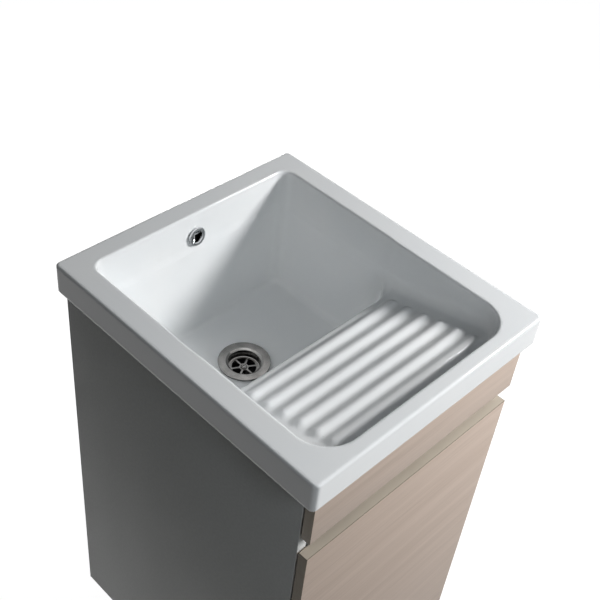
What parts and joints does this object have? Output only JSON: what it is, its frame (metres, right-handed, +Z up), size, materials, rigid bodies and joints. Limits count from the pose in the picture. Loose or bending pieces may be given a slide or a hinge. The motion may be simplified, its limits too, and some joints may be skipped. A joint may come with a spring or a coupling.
{
  "type": "utility laundry sink",
  "caption": "Deep ceramic laundry tub with a sloping ribbed washboard, on a narrow cabinet with a fixed fascia and a hinged door under a finger gap.",
  "frame": {"origin": "on the floor, under the middle of the rim", "axes": "+Z up, -Y is the front with the door, +X is the right side seen from the front"},
  "size_m": [0.445, 0.502, 0.85],
  "materials": {
    "ceramic": "gloss",
    "stainless": "satin",
    "chrome": "polished",
    "zinc_steel": "satin",
    "oak_laminate": "satin",
    "white_board": "matte",
    "white_plastic": "satin",
    "grey_plastic": "matte",
    "black_plastic": "matte",
    "black_rubber": "matte",
    "soft_bumper": "satin"
  },
  "bodies": {
    "cabinet": {"ceramic_basin": "ceramic", "overflow_ring": "chrome", "overflow_gasket": "black_rubber", "overflow_elbow": "black_plastic", "overflow_hose": "grey_plastic", "waste_flange": "stainless", "waste_upper_gasket": "black_rubber", "strainer": "stainless", "waste_lower_gasket": "black_rubber", "waste_body": "black_plastic", "trap_coupling_nut": "white_plastic", "trap_inlet_tube": "white_plastic", "trap_body": "white_plastic", "trap_outlet_nut": "white_plastic", "outlet_pipe": "white_plastic", "wall_rosette": "chrome", "side_panel_left": "white_board", "side_panel_right": "white_board", "bottom_panel": "white_board", "front_rail": "white_board", "rear_upper_rail": "white_board", "rear_lower_rail": "white_board", "fascia": "oak_laminate", "fascia_screw_left": "zinc_steel", "fascia_screw_right": "zinc_steel", "hinge_arm_upper": "zinc_steel", "hinge_plate_upper": "zinc_steel", "hinge_screw_upper": "zinc_steel", "door_bumper_upper": "soft_bumper", "hinge_arm_lower": "zinc_steel", "hinge_plate_lower": "zinc_steel", "hinge_screw_lower": "zinc_steel", "door_bumper_lower": "soft_bumper", "foot_socket_front_left": "black_plastic", "foot_socket_front_right": "black_plastic", "foot_socket_back_left": "black_plastic", "foot_socket_back_right": "black_plastic", "wall_bracket_left": "zinc_steel", "wall_bracket_right": "zinc_steel"},
    "door_panel": {"door": "oak_laminate", "hinge_cup_upper": "zinc_steel", "hinge_pin_upper": "zinc_steel", "hinge_cup_lower": "zinc_steel", "hinge_pin_lower": "zinc_steel"},
    "trap_cup": {"trap_cup": "white_plastic"},
    "strainer_screw": {"strainer_screw": "stainless"},
    "foot_front_left": {"levelling_foot_front_left": "black_plastic"},
    "foot_front_right": {"levelling_foot_front_right": "black_plastic"},
    "foot_back_left": {"levelling_foot_back_left": "black_plastic"},
    "foot_back_right": {"levelling_foot_back_right": "black_plastic"}
  },
  "joints": [
    {"name": "door_swing", "type": "hinge", "parent": "cabinet", "child": "door_panel", "pos_m": [0.2001, -0.2354, 0.3825], "axis": [0, 0, 1], "range_deg": [0, 95]},
    {"name": "trap_cup_turn", "type": "hinge", "parent": "cabinet", "child": "trap_cup", "pos_m": [0, 0.0945, 0.42], "axis": [0, 0, -1], "range_deg": [0, 540]},
    {"name": "strainer_screw_turn", "type": "hinge", "parent": "cabinet", "child": "strainer_screw", "pos_m": [0, 0.0945, 0.62], "axis": [0, 0, 1], "range_deg": [0, 360]},
    {"name": "foot_front_left_height", "type": "slide", "parent": "cabinet", "child": "foot_front_left", "axis": [0, 0, -1], "range_m": [0, 0.015]},
    {"name": "foot_front_right_height", "type": "slide", "parent": "cabinet", "child": "foot_front_right", "axis": [0, 0, -1], "range_m": [0, 0.015]},
    {"name": "foot_back_left_height", "type": "slide", "parent": "cabinet", "child": "foot_back_left", "axis": [0, 0, -1], "range_m": [0, 0.015]},
    {"name": "foot_back_right_height", "type": "slide", "parent": "cabinet", "child": "foot_back_right", "axis": [0, 0, -1], "range_m": [0, 0.015]}
  ]
}
